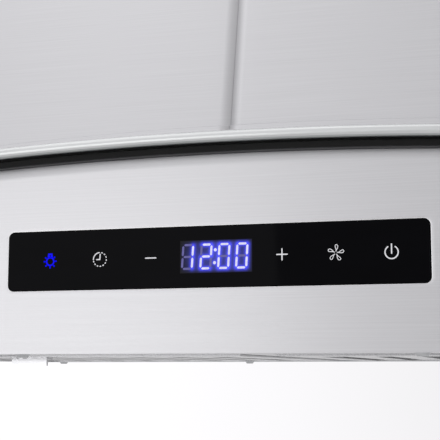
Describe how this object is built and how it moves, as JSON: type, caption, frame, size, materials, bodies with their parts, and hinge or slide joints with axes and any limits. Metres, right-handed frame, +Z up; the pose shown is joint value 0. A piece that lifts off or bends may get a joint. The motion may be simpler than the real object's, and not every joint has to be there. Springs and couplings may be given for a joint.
{
  "type": "wall-mounted range hood",
  "caption": "Wall-mounted kitchen range hood with an arched glass visor, tapered steel tower, sliding chimney, touch panel, lamps, baffle grease filters and a ducted fan.",
  "frame": {"origin": "on the wall plane, at the middle of the canopy's width and level with the canopy's lower rim", "axes": "+X to the right seen from the front, +Y into the wall, +Z up"},
  "size_m": [0.762, 0.476, 0.585],
  "materials": {
    "brushed_stainless": "horizontally brushed stainless steel",
    "filter_stainless": "bright stainless sheet",
    "galvanised_steel": "hot-dip galvanised sheet",
    "dark_strip": "satin dark grey paint",
    "visor_glass": "clear tempered glass with a ground and polished edge",
    "seal_rubber": "black EPDM rubber",
    "spacer_nylon": "natural nylon",
    "bright_steel": "polished steel",
    "zinc_fastener": "zinc-plated steel",
    "wheel_steel": "black galvanised steel",
    "motor_aluminium": "as-cast aluminium",
    "capacitor_case": "moulded white plastic",
    "terminal_plastic": "moulded polyamide",
    "gland_nylon": "moulded black nylon",
    "cable_jacket": "black PVC jacket",
    "panel_glass": "black back-printed tempered glass",
    "housing_plastic": "moulded black ABS",
    "circuit_board": "green solder mask on FR-4",
    "display_body": "dark moulded plastic with a blue LED display",
    "spring_copper": "phosphor bronze",
    "lamp_lens": "frosted lens",
    "led_board": "white solder mask",
    "spring_steel": "spring steel"
  },
  "bodies": {
    "canopy": {"fascia": "brushed_stainless", "side_panel_left": "brushed_stainless", "side_panel_right": "brushed_stainless", "back_panel": "galvanised_steel", "top_deck": "galvanised_steel", "bottom_frame": "brushed_stainless", "body_screws": "zinc_fastener", "glass_visor": "visor_glass", "front_seal": "seal_rubber", "side_seals": "seal_rubber", "glass_bolts": "bright_steel", "glass_washers": "seal_rubber", "glass_spacers": "spacer_nylon", "glass_nuts": "zinc_fastener", "tower_left": "brushed_stainless", "tower_right": "brushed_stainless", "joint_strip": "dark_strip", "base_trim": "brushed_stainless", "tower_brackets": "galvanised_steel", "blower_scroll": "galvanised_steel", "blower_plates": "galvanised_steel", "inlet_rings": "galvanised_steel", "blower_standoffs": "zinc_fastener", "motor": "motor_aluminium", "motor_bracket": "galvanised_steel", "duct_collar": "galvanised_steel", "damper_pins": "bright_steel", "electronics_box": "galvanised_steel", "electronics_cover": "galvanised_steel", "run_capacitor": "capacitor_case", "terminal_block": "terminal_plastic", "cable_gland": "gland_nylon", "control_cable": "cable_jacket", "cable_clips": "spacer_nylon", "motor_cable": "cable_jacket", "control_glass": "panel_glass", "control_housing": "housing_plastic", "control_board": "circuit_board", "display_module": "display_body", "touch_springs": "spring_copper", "lamp_bezels": "bright_steel", "lamp_lenses": "lamp_lens", "lamp_boards": "led_board"},
    "fan": {"fan_wheel": "wheel_steel", "fan_blades": "wheel_steel", "motor_shaft": "bright_steel", "wheel_nut": "zinc_fastener"},
    "damper_left": {"damper_flap_left": "motor_aluminium"},
    "damper_right": {"damper_flap_right": "motor_aluminium"},
    "chimney": {"chimney": "brushed_stainless", "chimney_bracket": "galvanised_steel", "chimney_screws": "zinc_fastener"},
    "filter_left": {"filter_left_frame": "filter_stainless", "filter_left_baffles": "filter_stainless", "filter_left_spring": "spring_steel"},
    "latch_left": {"filter_left_latch": "bright_steel"},
    "filter_right": {"filter_right_frame": "filter_stainless", "filter_right_baffles": "filter_stainless", "filter_right_spring": "spring_steel"},
    "latch_right": {"filter_right_latch": "bright_steel"}
  },
  "joints": [
    {"name": "fan_spin", "type": "hinge", "parent": "canopy", "child": "fan", "pos_m": [-0.05, -0.15, 0.245], "axis": [0, 1, 0], "continuous": true},
    {"name": "damper_left_hinge", "type": "hinge", "parent": "canopy", "child": "damper_left", "pos_m": [-0.004, -0.15, 0.378], "axis": [0, 1, 0], "range_deg": [0, 78]},
    {"name": "damper_right_hinge", "type": "hinge", "parent": "canopy", "child": "damper_right", "pos_m": [0.004, -0.15, 0.378], "axis": [0, -1, 0], "range_deg": [0, 78]},
    {"name": "chimney_slide", "type": "slide", "parent": "canopy", "child": "chimney", "axis": [0, 0, 1], "range_m": [0, 0.3]},
    {"name": "filter_left_hinge", "type": "hinge", "parent": "canopy", "child": "filter_left", "pos_m": [-0.14, -0.051, 0.00356], "axis": [1, 0, 0], "range_deg": [0, 80]},
    {"name": "latch_left_slide", "type": "slide", "parent": "filter_left", "child": "latch_left", "axis": [0, 1, 0], "range_m": [0, 0.006], "stiffness_N_per_m": 400, "springref_m": -0.005, "deforming": ["filter_left_spring"]},
    {"name": "filter_right_hinge", "type": "hinge", "parent": "canopy", "child": "filter_right", "pos_m": [0.14, -0.051, 0.00356], "axis": [1, 0, 0], "range_deg": [0, 80]},
    {"name": "latch_right_slide", "type": "slide", "parent": "filter_right", "child": "latch_right", "axis": [0, 1, 0], "range_m": [0, 0.006], "stiffness_N_per_m": 400, "springref_m": -0.005, "deforming": ["filter_right_spring"]}
  ]
}
